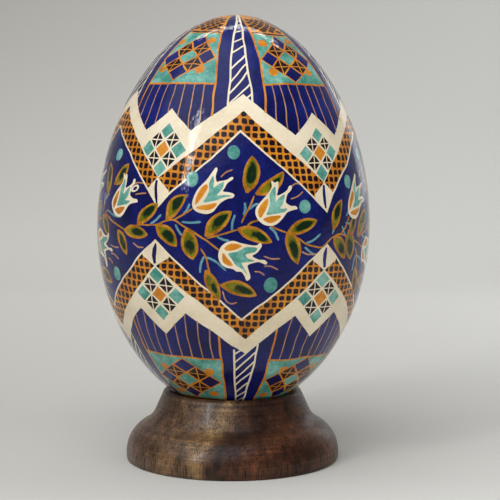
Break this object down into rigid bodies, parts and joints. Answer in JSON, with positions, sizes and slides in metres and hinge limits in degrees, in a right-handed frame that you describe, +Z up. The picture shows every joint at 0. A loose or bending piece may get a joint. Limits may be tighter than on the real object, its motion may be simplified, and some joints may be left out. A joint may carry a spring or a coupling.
{
  "type": "painted goose egg on a stand",
  "caption": "Goose egg with a dyed geometric and tulip-vine pattern under gloss varnish, standing pointed end up on a small turned walnut stand.",
  "frame": {"origin": "middle of the stand's flat underside", "axes": "+Z up through the stand towards the egg's pointed end, -Y towards the front that the picture shows"},
  "size_m": [0.059, 0.059, 0.0961],
  "materials": {
    "varnished_dye": "navy, orange, turquoise and cream dyes on eggshell under a gloss varnish",
    "walnut": "turned walnut with a satin finish"
  },
  "bodies": {
    "root": {"egg": "varnished_dye", "stand": "walnut"}
  },
  "joints": []
}
